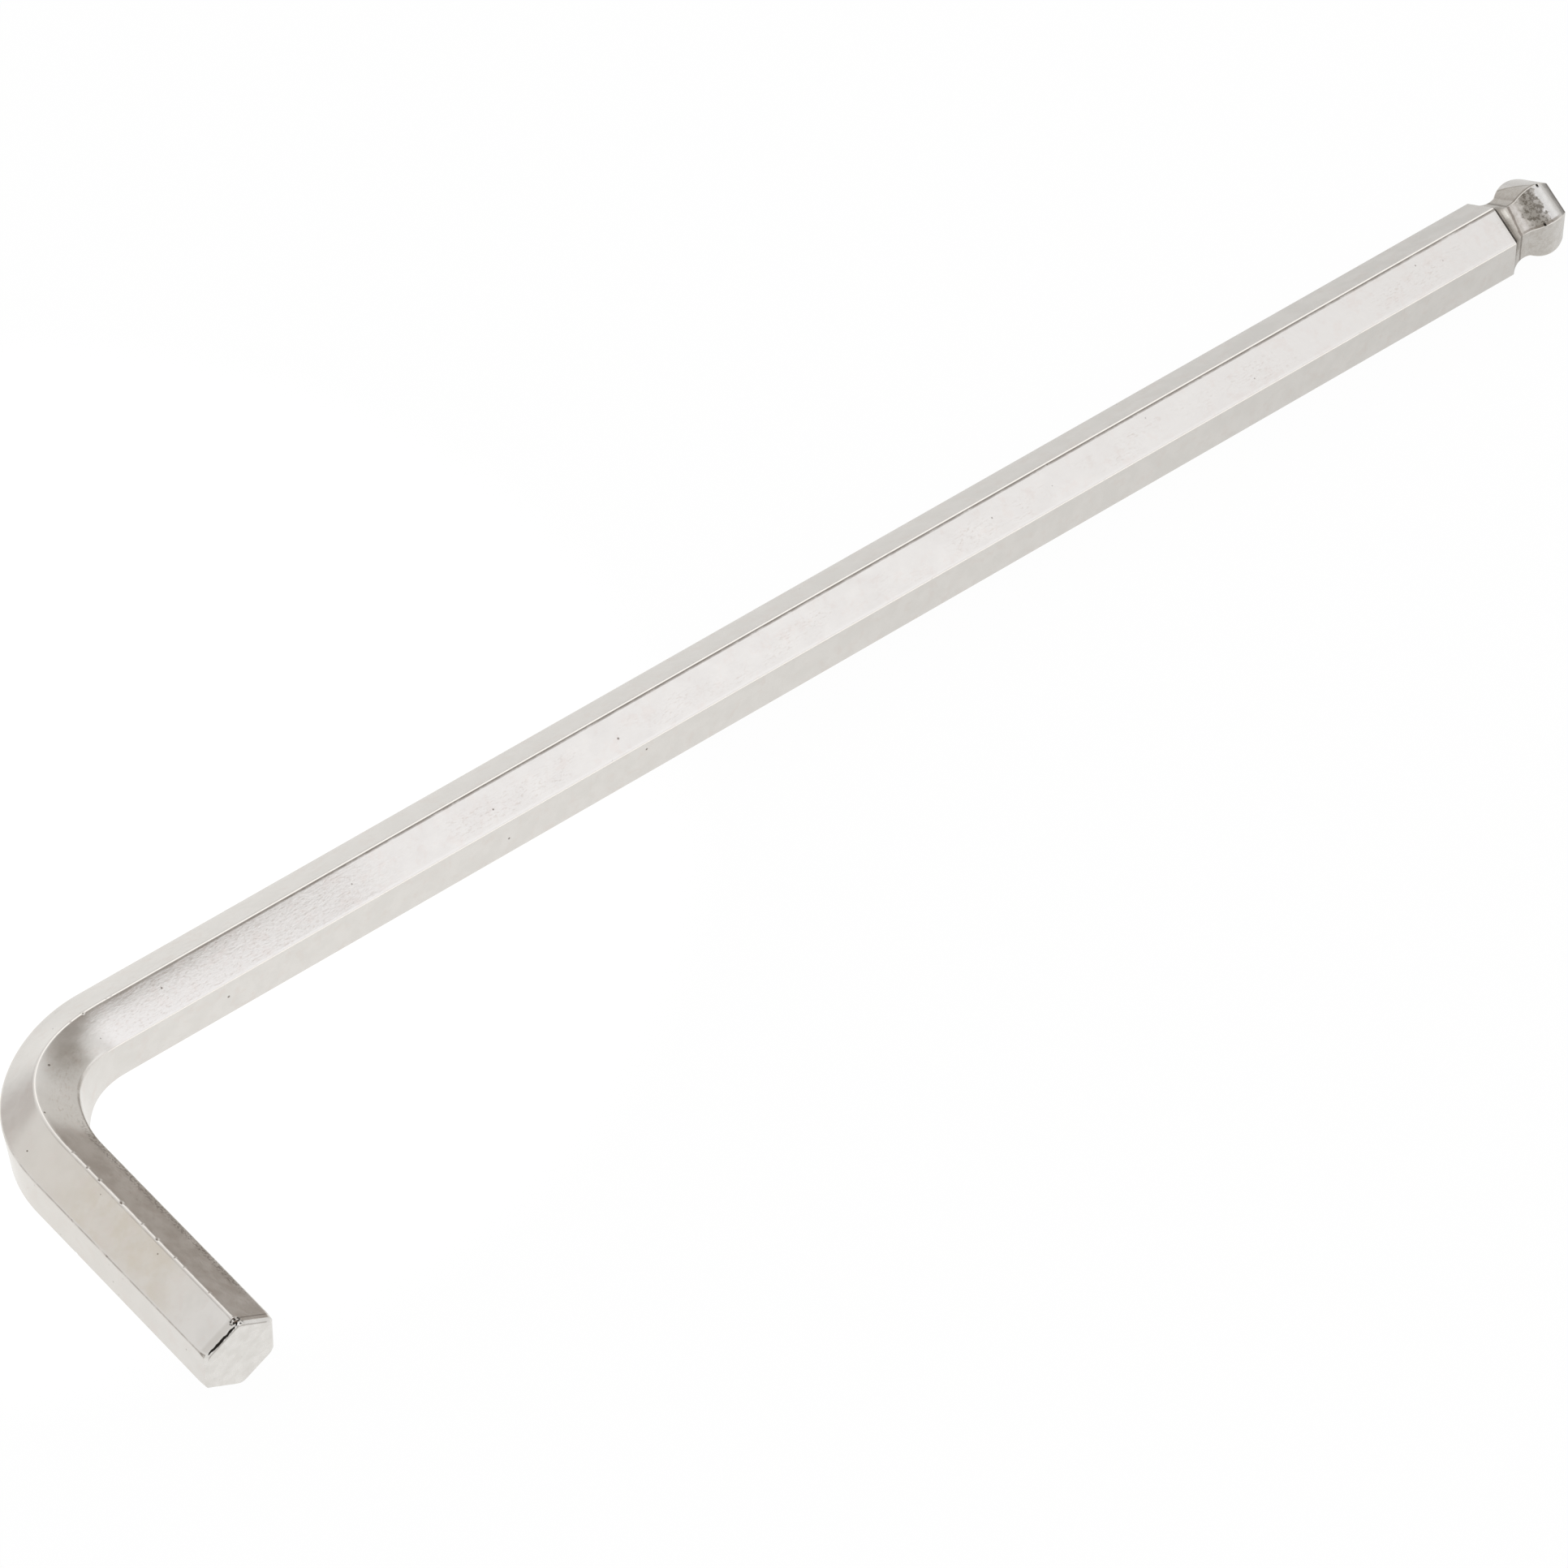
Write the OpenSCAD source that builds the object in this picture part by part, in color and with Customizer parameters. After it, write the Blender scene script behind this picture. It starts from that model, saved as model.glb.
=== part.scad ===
// Hex key with a ball end: one hexagonal steel bar, bent once into an L.
// The key lies flat on its lower ridges. The long arm runs along +X to the ball end,
// the short arm runs along -Y, and the bend's plane is level.
// The origin is the middle of the outline, at the surface that the key lies on.

/* [Bar] */
// Width across the flats, which is the key's nominal size
across_flats = 8; // [6:0.5:11]
// Radius of the bar's six drawn corners
corner_r = 0.4; // [0.2:0.05:0.7]

/* [Arms] */
// Overall length of the long arm, from the short arm's outer flat to the ball's tip
long_overall = 208; // [120:1:260]
// Overall length of the short arm, from the long arm's outer flat to its end
short_overall = 45; // [32:1:90]
// Bend radius of the bar's centre line
bend_r = 13.2; // [9:0.2:18]

/* [Short end] */
// Chamfer round the short arm's end, along the arm
end_chamfer = 0.35; // [0.1:0.05:0.8]
// Angle between that chamfer and the end face
end_chamfer_angle = 45; // [30:1:60]

/* [Ball end] */
// Distance from the shoulder to the crease where the neck's hollow meets the ball
neck_length = 3.15; // [2.6:0.05:3.6]
// Radius of the hollow that makes the neck
neck_hollow_r = 3.2; // [2.2:0.1:5]
// Distance from that crease to the ball's widest place
ball_back = 2.35; // [2:0.05:2.6]
// Distance from the ball's widest place to its tip face
ball_front = 2.4; // [1.8:0.1:2.6]
// How far the ball's curved flats stay below the bar's flats
ball_clearance = 0.05; // [0:0.05:0.3]
// Rounding between the ball's flats and its tip face
tip_round = 0.45; // [0.2:0.05:0.7]

/* [Hidden] */
// The bar's six sides, and the turn from each to the next
SIDES = 6;
STEP = 360 / SIDES;
TURNS = [for (i = [0 : SIDES - 1]) i * STEP];
// Smooth circles for the arcs
$fn = 96;
// From the bar's axis to a flat, to the centre of a corner's arc, and to a ridge
flat = across_flats / 2;
corner_centre = (flat - corner_r) / cos(STEP / 2);
ridge = corner_centre + corner_r;
// How far the cutting shapes reach past the bar
reach = across_flats;
// Axis of each arm in the level plane, and the middle of the bend's arc
long_axis_y = short_overall / 2 - flat;
short_axis_x = -long_overall / 2 + flat;
bend_x = short_axis_x + bend_r;
bend_y = long_axis_y - bend_r;
// The ball's radius and its middle and tip, along the arm from the shoulder
ball_r = flat - ball_clearance;
ball_centre = neck_length + ball_back;
ball_length = ball_centre + ball_front;
shoulder_x = long_overall / 2 - ball_length;
// The hollow's circle passes through the shoulder's edge and the crease, seen from the side
shoulder_edge = [0, flat];
crease = [neck_length, sqrt(pow(ball_r, 2) - pow(ball_back, 2))];
chord = crease - shoulder_edge;
chord_rise = sqrt(pow(neck_hollow_r, 2) - pow(norm(chord) / 2, 2));
hollow = (shoulder_edge + crease) / 2 + chord_rise * [-chord[1], chord[0]] / norm(chord);
// Centre of the tip's rounding, and where that rounding touches the ball's arc
round_reach = ball_front - tip_round;
round_x = ball_centre + round_reach;
round_y = sqrt(pow(ball_r - tip_round, 2) - pow(round_reach, 2));
touch_x = ball_centre + round_reach * ball_r / (ball_r - tip_round);

// The bar's cross-section: a hexagon with a ridge up, and small round corners
module bar_section() {
    function toward(angle) = [cos(angle), sin(angle)];
    polygon([
        for (turn = TURNS, side = [0, STEP])
            corner_centre * toward(turn + STEP / 2) + corner_r * toward(turn + side)
    ]);
    for (turn = TURNS)
        translate(corner_centre * toward(turn + STEP / 2))
            circle(r = corner_r);
}

// A straight length of bar, from x = 0 along +X
module straight(length) {
    rotate([90, 0, 90])
        linear_extrude(length)
            bar_section();
}

// Places a shape that is drawn for the flat facing +Z of a bar along X on one of its flats
module on_flat(turn) {
    rotate([turn + STEP / 2, 0, 0])
        rotate([90, 0, 0])
            linear_extrude(2 * reach, center = true)
                children();
}

// What is cut from each flat behind and round the ball, seen from the side with x = 0
// at the shoulder: the hollow, then what lies outside the ball's arc and its tip face
module ball_cut() {
    translate(hollow)
        circle(r = neck_hollow_r);
    difference() {
        translate([neck_length, 0])
            square(2 * reach);
        intersection() {
            translate([ball_centre, 0])
                circle(r = ball_r);
            square([touch_x, reach]);
        }
        translate([round_x, round_y])
            circle(r = tip_round);
        translate([ball_centre, 0])
            square([ball_front, round_y]);
    }
}

// The bevel cut from each flat at the short arm's end, seen from the side
module end_cut() {
    depth = end_chamfer * tan(end_chamfer_angle);
    polygon([
        [-end_chamfer, flat],
        [-end_chamfer, flat + reach],
        [reach, flat + reach],
        [reach, flat - depth - reach * tan(end_chamfer_angle)],
    ]);
}

// The long arm's straight length, with the hexagonal ball at its end
module long_arm() {
    length = long_overall / 2 - bend_x;
    translate([bend_x, long_axis_y, 0])
        difference() {
            straight(length);
            for (turn = TURNS)
                translate([shoulder_x - bend_x, 0, 0])
                    on_flat(turn)
                        ball_cut();
        }
}

// The quarter turn between the arms
module bend() {
    translate([bend_x, bend_y, 0])
        rotate_extrude(angle = 90, start = 90)
            translate([bend_r, 0])
                bar_section();
}

// The short arm's straight length, with the bevel round its end
module short_arm() {
    length = short_overall / 2 + bend_y;
    translate([short_axis_x, bend_y, 0])
        rotate([0, 0, -90])
            difference() {
                straight(length);
                for (turn = TURNS)
                    translate([length, 0, 0])
                        on_flat(turn)
                            end_cut();
            }
}

module hex_key() {
    color([0.74, 0.72, 0.69])
        translate([0, 0, ridge])
            union() {
                long_arm();
                bend();
                short_arm();
            }
}

hex_key();
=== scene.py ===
"""A nickel-plated hex key with a ball end, laid flat on a pale studio floor."""

import math

import bpy
import numpy as np
from mathutils import Matrix, Vector


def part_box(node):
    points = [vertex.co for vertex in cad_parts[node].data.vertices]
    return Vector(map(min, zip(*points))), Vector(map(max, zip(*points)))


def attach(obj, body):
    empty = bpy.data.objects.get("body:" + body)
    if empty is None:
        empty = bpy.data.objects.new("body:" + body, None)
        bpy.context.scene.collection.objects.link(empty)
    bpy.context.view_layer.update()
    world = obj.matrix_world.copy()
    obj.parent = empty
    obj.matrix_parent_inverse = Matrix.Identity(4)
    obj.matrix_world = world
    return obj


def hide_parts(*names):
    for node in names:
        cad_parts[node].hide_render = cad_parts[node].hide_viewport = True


bl_info = {
    "name": "Ball End Hex Key",
    "version": (1, 0, 0),
    "blender": (4, 5, 0),
    "location": "3D View > Sidebar > Hex Key",
    "description": "Makes a nickel-plated hex key with a ball end, and a plain studio round it",
    "category": "Object",
}

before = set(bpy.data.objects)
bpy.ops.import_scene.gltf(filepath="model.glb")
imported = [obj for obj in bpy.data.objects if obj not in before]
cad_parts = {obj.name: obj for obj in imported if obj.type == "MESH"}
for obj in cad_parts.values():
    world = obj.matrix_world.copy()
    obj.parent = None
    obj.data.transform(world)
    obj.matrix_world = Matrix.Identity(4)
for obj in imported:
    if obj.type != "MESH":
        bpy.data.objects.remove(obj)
FRAME_LOW, FRAME_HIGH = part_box("hex_key")

# The bar's six sides, numbered from the flat that faces the inside of the bend, the upper ones first
SIDES = 6
SIDE_TURN = math.tau / SIDES
INNER_FLAT, INNER_TOP_FLAT, OUTER_TOP_FLAT, OUTER_FLAT, OUTER_LOW_FLAT, INNER_LOW_FLAT = range(SIDES)
# Each ridge follows the flat of the same number
INNER_RIDGE, TOP_RIDGE, OUTER_RIDGE, OUTER_LOW_RIDGE = range(4)

MM = 0.001

# The material slots of the key's mesh
DRAWN, SAWN, MILLED = range(3)

# Longest steps of the mesh along the short arm, the bend and the long arm, and the shortest of all
SHORT_STEP, BEND_STEP, LONG_STEP = 0.3 * MM, 0.25 * MM, 0.45 * MM
LEAST_STEP = 0.03 * MM
# Rings of the end face and of the tip, as shares of their width
FACE_RINGS = (0.12, 0.4, 0.7, 0.92)
# Places across a flat, from ridge to ridge, and steps round a ridge
FLAT_PLACES = (-1, -0.92, -0.8, -0.55, -0.25, 0.05, 0.3, 0.5, 0.68, 0.82, 0.92, 1)
RIDGE_STEPS = 5
# Steps along the neck's hollow, the ball's arc, the tip's rounding and an edge that is eased
NECK_STEPS, BALL_STEPS, TIP_STEPS, EDGE_STEPS = 46, 60, 10, 4

# Stations where the bend's swell begins, is full, begins to fade and ends
SWELL_STATIONS = (34 * MM, 40 * MM, 46 * MM, 82 * MM)

# Most that the sawn end's rounding adds to a corner, as a share of the flats' distance from the axis
MOST_END_ROUNDING = 0.3

# Nicks that stand out, as millimetres from the short end, ridge, half length and depth
NICKS = (
    (0.55, TOP_RIDGE, 0.13, 0.16), (0.95, TOP_RIDGE, 0.1, 0.12), (4.8, TOP_RIDGE, 0.1, 0.04),
    (8.8, TOP_RIDGE, 0.1, 0.04), (10.3, TOP_RIDGE, 0.1, 0.05), (13.2, TOP_RIDGE, 0.16, 0.08),
    (15.6, TOP_RIDGE, 0.1, 0.05), (19.0, TOP_RIDGE, 0.18, 0.09), (22.6, TOP_RIDGE, 0.15, 0.08),
    (24.6, TOP_RIDGE, 0.1, 0.07), (27.0, TOP_RIDGE, 0.12, 0.05), (46.5, TOP_RIDGE, 0.12, 0.08),
    (21.4, OUTER_LOW_RIDGE, 0.16, 0.14),
)
NICK_WIDTH = 0.16 * MM
# Stations of the mesh that each nick gets, and how far they reach, in its half lengths
NICK_STATIONS, NICK_REACH = 15, 2.5

# Dark spots that stand out, as millimetres from the short end, ridge, millimetres past it, and radius
SPOTS = (
    (12.0, TOP_RIDGE, 0.9, 0.11), (30.5, TOP_RIDGE, 3.2, 0.13), (33.0, TOP_RIDGE, -0.35, 0.15),
    (39.3, TOP_RIDGE, -1.1, 0.18), (54.8, INNER_RIDGE, 2.8, 0.15), (61.0, INNER_RIDGE, -2.0, 0.2),
    (95.0, INNER_RIDGE, 1.85, 0.14), (95.7, INNER_RIDGE, -2.4, 0.18), (110.8, INNER_RIDGE, 1.8, 0.17),
    (113.2, INNER_RIDGE, -0.9, 0.18),
)

# Tones of the plating where it isn't quite clean, and painted shade and a painted highlight in the neck
DULL_NICKEL = (0.69, 0.672, 0.648)
PINK_TINGE = (0.68, 0.62, 0.585)
CRINKLE_BROWN = (0.5, 0.43, 0.38)
SAWN_DULL, SAWN_BRIGHT = (0.715, 0.697, 0.672), (0.785, 0.77, 0.748)
BALL_DULL, BALL_CLEAN, BALL_FAR = (0.66, 0.635, 0.6), (0.67, 0.665, 0.66), (0.76, 0.75, 0.74)
BALL_SPECKS, BALL_BROWN = (0.09, 0.08, 0.065), (0.3, 0.25, 0.2)
# The last of these is painted shade in the neck next to the shoulder
RIM_GREY, RIDGE_SOIL, NECK_PAINTED_SHADE = (0.3, 0.29, 0.28), (0.26, 0.23, 0.2), (0.2, 0.17, 0.14)
# Painted highlight in the neck by the shoulder
NECK_PAINTED_HIGHLIGHT = (0.9, 0.88, 0.84)


class HexKeySizes(bpy.types.PropertyGroup):
    """Sizes of the key that its outline doesn't give"""

    across_flats: bpy.props.FloatProperty(
        name="Across flats", description="Width of the bar across its flats",
        default=8 * MM, min=0, unit="LENGTH")
    corner_radius: bpy.props.FloatProperty(
        name="Corner radius", description="Radius of the bar's drawn corners",
        default=0.4 * MM, min=0, unit="LENGTH")
    bend_radius: bpy.props.FloatProperty(
        name="Bend radius", description="Radius of the centre line in the bend",
        default=13.2 * MM, min=0, unit="LENGTH")
    bend_roll: bpy.props.FloatProperty(
        name="Bend roll", description="How far the section rolled outwards in the middle of the bend",
        default=math.radians(11), unit="ROTATION")
    end_chamfer: bpy.props.FloatProperty(
        name="End chamfer", description="Chamfer round the short arm's end",
        default=0.35 * MM, min=0, unit="LENGTH")
    neck_length: bpy.props.FloatProperty(
        name="Neck length", description="From the shoulder to the crease between neck and ball",
        default=3.15 * MM, min=0, unit="LENGTH")
    neck_hollow_radius: bpy.props.FloatProperty(
        name="Neck hollow radius", description="Radius of the hollow that makes the neck",
        default=3.2 * MM, min=0, unit="LENGTH")
    ball_back: bpy.props.FloatProperty(
        name="Ball back", description="From the crease to the ball's widest place",
        default=2.35 * MM, min=0, unit="LENGTH")
    ball_front: bpy.props.FloatProperty(
        name="Ball front", description="From the ball's widest place to its tip face",
        default=2.4 * MM, min=0, unit="LENGTH")
    ball_clearance: bpy.props.FloatProperty(
        name="Ball clearance", description="How far the ball's flats stay below the bar's",
        default=0.05 * MM, min=0, unit="LENGTH")
    tip_rounding: bpy.props.FloatProperty(
        name="Tip rounding", description="Rounding between the ball's flats and its tip face",
        default=0.45 * MM, min=0, unit="LENGTH")
    bend_swell: bpy.props.FloatProperty(
        name="Bend swell", description="How far the inner side's slanted flats swelled in the bend",
        default=0.22 * MM, min=0, unit="LENGTH")
    end_rounding: bpy.props.FloatProperty(
        name="End rounding", description="Extra radius of the ridges at the sawn end",
        default=0.85 * MM, min=0, unit="LENGTH")
    end_rounding_reach: bpy.props.FloatProperty(
        name="End rounding reach", description="How far from the sawn end the ridges are rounded more",
        default=1.6 * MM, min=0.1 * MM, unit="LENGTH")
    milled_edge: bpy.props.FloatProperty(
        name="Milled edge", description="Radius of the plating on cut edges and the ball's ridges",
        default=0.07 * MM, min=0, unit="LENGTH")


class HexKeyFinish(bpy.types.PropertyGroup):
    """Colours and gloss of the plating, with the colours of some painted highlights, reflections and
    shade
    """

    nickel: bpy.props.FloatVectorProperty(
        name="Nickel", description="Colour of the clean plating",
        default=(0.725, 0.706, 0.683), min=0, max=1, subtype="COLOR")
    # Partly real rubbed plating, partly a painted highlight along the ridges
    worn_nickel_and_highlight: bpy.props.FloatVectorProperty(
        name="Worn nickel", description="Colour of the plating where the ridges are rubbed bright",
        default=(0.84, 0.81, 0.77), min=0, max=1, subtype="COLOR")
    stain: bpy.props.FloatVectorProperty(
        name="Stain", description="Colour of the tan blotches in the plating",
        default=(0.6, 0.53, 0.43), min=0, max=1, subtype="COLOR")
    soot: bpy.props.FloatVectorProperty(
        name="Soot", description="Colour of pits, spots, nicks and seams",
        default=(0.14, 0.11, 0.09), min=0, max=1, subtype="COLOR")
    film: bpy.props.FloatVectorProperty(
        name="Film", description="Colour of the thin film on the ball and beside the burr",
        default=(0.4, 0.37, 0.33), min=0, max=1, subtype="COLOR")
    # Grime along some ridges, and a painted dark reflection beside the top ridge
    grime_and_dark_reflection: bpy.props.FloatVectorProperty(
        name="Grime", description="Colour of the thin lines along the ridges",
        default=(0.3, 0.27, 0.24), min=0, max=1, subtype="COLOR")
    residue: bpy.props.FloatVectorProperty(
        name="Residue", description="Colour of the residue on the ball's back",
        default=(0.2, 0.185, 0.155), min=0, max=1, subtype="COLOR")
    # Also the painted dark reflection in the end's chamfer and the painted shadow at the neck's shoulder
    burr_and_painted_shade: bpy.props.FloatVectorProperty(
        name="Burr", description="Colour of the saw's burr and of the blackest dots",
        default=(0.02, 0.018, 0.015), min=0, max=1, subtype="COLOR")
    roughness: bpy.props.FloatProperty(
        name="Roughness", description="Roughness of the clean plating",
        default=0.2, min=0, max=1)


class HexKeyStudio(bpy.types.PropertyGroup):
    """Camera and surroundings"""

    target: bpy.props.FloatVectorProperty(
        name="Target", description="Point at the middle of the picture",
        default=(-0.01352, 0.00309, 0.00469), unit="LENGTH")
    distance: bpy.props.FloatProperty(
        name="Distance", description="From the camera to that point",
        default=0.84358, unit="LENGTH")
    azimuth: bpy.props.FloatProperty(
        name="Azimuth", description="Direction that the camera looks in, from +Y towards +X",
        default=math.radians(39.405), unit="ROTATION")
    elevation: bpy.props.FloatProperty(
        name="Elevation", description="How far the camera looks down",
        default=math.radians(47.06), unit="ROTATION")
    roll: bpy.props.FloatProperty(
        name="Roll", description="Turn of the camera round its own axis",
        default=math.radians(0.847), unit="ROTATION")
    lens: bpy.props.FloatProperty(
        name="Lens", description="Focal length, in millimetres, on a 36 mm frame",
        default=192.37)
    room: bpy.props.FloatVectorProperty(
        name="Room", description="Light of the room away from its lamps and flags",
        default=(0.93, 0.922, 0.912), subtype="COLOR")
    pool_place: bpy.props.FloatVectorProperty(
        name="Pool place", description="Middle of the pool of light that the metal sees in the floor",
        default=(-0.08, 0.05, 0.0), unit="LENGTH")
    pool_reach: bpy.props.FloatProperty(
        name="Pool reach", description="Distance over which that pool of light fades",
        default=0.32, min=0.01, unit="LENGTH")
    pool_light: bpy.props.FloatProperty(
        name="Pool light", description="Light of the floor in the pool, as the metal sees it",
        default=1.12, min=0)
    far_light: bpy.props.FloatProperty(
        name="Far light", description="Light of the floor away from the pool, as the metal sees it",
        default=0.61, min=0)
    pool_colour: bpy.props.FloatVectorProperty(
        name="Pool colour", description="Tint of the floor, as the metal sees it",
        default=(1.0, 0.993, 0.975), min=0, max=1, subtype="COLOR")
    floor_size: bpy.props.FloatProperty(
        name="Floor size", description="Width of the floor",
        default=12.0, unit="LENGTH")


class Bar:
    """The bent bar's measures, and its centre line as a path from the short end to the ball's tip"""

    def __init__(self, sizes):
        self.flat = sizes.across_flats / 2
        self.corner_radius = sizes.corner_radius
        self.slant = 1 / math.cos(SIDE_TURN / 2)
        self.ridge = (self.flat - self.corner_radius) * self.slant + self.corner_radius
        self.cut_edge = sizes.milled_edge
        self.height = FRAME_LOW.z + self.ridge
        self.bend_radius = sizes.bend_radius
        self.bend_roll = sizes.bend_roll
        self.bend_swell = sizes.bend_swell
        self.end_rounding = sizes.end_rounding
        self.end_rounding_reach = sizes.end_rounding_reach
        self.short_x = FRAME_LOW.x + self.flat
        self.long_y = FRAME_HIGH.y - self.flat
        self.bend_middle = (self.short_x + self.bend_radius, self.long_y - self.bend_radius)
        self.bend_start = self.bend_middle[1] - FRAME_LOW.y
        self.bend_end = self.bend_start + self.bend_radius * math.pi / 2
        self.length = self.bend_end + FRAME_HIGH.x - self.bend_middle[0]
        self.ball_centre = sizes.neck_length + sizes.ball_back
        self.shoulder = self.length - self.ball_centre - sizes.ball_front
        self.corner_width = self.corner_radius * SIDE_TURN
        self.flat_width = 2 * (self.flat - self.corner_radius) * math.tan(SIDE_TURN / 2)
        self.side_width = self.flat_width + self.corner_width
        self.girth = SIDES * self.side_width

    def ridge_place(self, ridge):
        """Where a ridge lies across the unrolled skin"""
        return (ridge + 1) * self.side_width - self.corner_width / 2

    def place(self, along):
        """Point of the centre line, and the level direction towards the inside of the bend"""
        middle_x, middle_y = self.bend_middle
        if along < self.bend_start:
            return (self.short_x, FRAME_LOW.y + along), (1, 0)
        if along < self.bend_end:
            turn = (along - self.bend_start) / self.bend_radius
            back = (-math.cos(turn), math.sin(turn))
            point = (middle_x + self.bend_radius * back[0], middle_y + self.bend_radius * back[1])
            return point, (-back[0], -back[1])
        return (middle_x + along - self.bend_end, self.long_y), (0, -1)

    def roll(self, alongs):
        """Turn of the section about the centre line, its top outwards, at each station"""
        share = np.clip((alongs - self.bend_start) / (self.bend_end - self.bend_start), 0, 1)
        return self.bend_roll * np.sin(math.pi * share) ** 2

    def swell(self, alongs):
        """How much of the bend's swell each station has; it runs on into the long arm"""
        begins, full, fades, ends = SWELL_STATIONS
        rise = np.clip((alongs - begins) / (full - begins), 0, 1)
        fall = np.clip((ends - alongs) / (ends - fades), 0, 1)
        return self.bend_swell * rise**2 * (3 - 2 * rise) * fall**2 * (3 - 2 * fall)

    def corner(self, apothem):
        """Radius of the section's corners where its flats lie at that distance from the axis"""
        drawn = (apothem * self.slant - self.ridge) / (self.slant - 1)
        return min(max(drawn, self.cut_edge), apothem / 2)

    def corner_radii(self, alongs, apothems):
        """Radius of the corners at every station, rounder towards the sawn end"""
        near_end = np.clip(1 - alongs / self.end_rounding_reach, 0, 1) ** 2
        radii = np.array([self.corner(apothem) for apothem in apothems])
        return radii + np.minimum(self.end_rounding * near_end, MOST_END_ROUNDING * apothems)


def arc(centre, radius, start, end, steps):
    """Points of an arc from the angle start to the angle end"""
    turns = np.linspace(start, end, steps + 1)
    return [(centre[0] + radius * math.cos(a), centre[1] + radius * math.sin(a)) for a in turns]


def eased(before, corner, after, reach):
    """Points that round off a corner of a profile, from reach before it to reach after it"""
    corner = np.array(corner)
    start, end = (
        corner + (np.array(side) - corner) * reach / np.linalg.norm(np.array(side) - corner)
        for side in (before, after)
    )
    return [
        tuple((1 - t) ** 2 * start + 2 * t * (1 - t) * corner + t * t * end)
        for t in np.linspace(0, 1, EDGE_STEPS + 1)
    ]


def ball_profile(bar, sizes):
    """Distance from the shoulder and distance of the flats from the axis, from shoulder to tip"""
    ball_radius = bar.flat - sizes.ball_clearance
    edge = np.array((0, bar.flat))
    crease = np.array((sizes.neck_length, math.sqrt(ball_radius**2 - sizes.ball_back**2)))
    chord = crease - edge
    width = np.linalg.norm(chord)
    rise = math.sqrt(sizes.neck_hollow_radius**2 - (width / 2) ** 2)
    hollow = (edge + crease) / 2 + rise * np.array((-chord[1], chord[0])) / width
    angles = [math.atan2(*(point - hollow)[::-1]) for point in (edge, crease)]
    neck = arc(hollow, sizes.neck_hollow_radius, *angles, NECK_STEPS)

    round_reach = sizes.ball_front - sizes.tip_rounding
    round_middle = (
        bar.ball_centre + round_reach,
        math.sqrt((ball_radius - sizes.tip_rounding) ** 2 - round_reach**2),
    )
    touch = math.atan2(round_middle[1], round_reach)
    middle = (bar.ball_centre, 0)
    back = math.atan2(crease[1], -sizes.ball_back)
    ball = arc(middle, ball_radius, back, touch, BALL_STEPS)
    rounding = arc(round_middle, sizes.tip_rounding, touch, 0, TIP_STEPS)

    reach = sizes.milled_edge
    shoulder = eased((-1, bar.flat), edge, neck[2], reach)
    inside = eased(neck[-3], crease, ball[2], reach)
    neck = [p for p in neck if reach < p[0] < sizes.neck_length - reach]
    ball = [p for p in ball if p[0] > sizes.neck_length + reach]
    return shoulder + neck + inside + ball + rounding[1:]


def end_profile(bar, sizes):
    """Distance along the bar and distance of the flats from the axis, round the short end's chamfer"""
    face = (0, bar.flat - sizes.end_chamfer)
    top = (sizes.end_chamfer, bar.flat)
    reach = sizes.milled_edge
    return eased((0, 0), face, top, reach) + eased(face, top, (1, bar.flat), reach)


def nicks():
    """Every nick, as its station, its ridge, and its half length and depth, in metres"""
    return [(along * MM, ridge, length * MM, depth * MM) for along, ridge, length, depth in NICKS]


def bar_profile(bar, sizes):
    """Every station of the mesh, from the middle of the short end's face to the middle of the tip"""
    steps = ((bar.bend_start, SHORT_STEP), (bar.bend_end, BEND_STEP), (bar.shoulder, LONG_STEP))
    stations = []
    start = 0.0
    for end, step in steps:
        stations += list(np.linspace(start, end, math.ceil((end - start) / step), endpoint=False))
        start = end
    for along, _, length, _ in nicks():
        reach = NICK_REACH * length
        stations += list(np.linspace(along - reach, along + reach, NICK_STATIONS))
    short_end = end_profile(bar, sizes)
    ball = [(bar.shoulder + along, apothem) for along, apothem in ball_profile(bar, sizes)]
    stations = sorted(s for s in stations if short_end[-1][0] < s < ball[0][0])
    kept = [stations[0]]
    for station in stations[1:]:
        if station - kept[-1] > LEAST_STEP:
            kept.append(station)
    return (
        [(0, share * short_end[0][1]) for share in FACE_RINGS] + short_end
        + [(station, bar.flat) for station in kept]
        + ball + [(bar.length, share * ball[-1][1]) for share in reversed(FACE_RINGS)]
    )


def swell_share(side, share):
    """Height of the swell across a flat: steepest next to the top ridge, and next to the low one"""
    if side == INNER_LOW_FLAT:
        share = 1 - share
    return share - share**3 if side in (INNER_TOP_FLAT, INNER_LOW_FLAT) else 0


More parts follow.
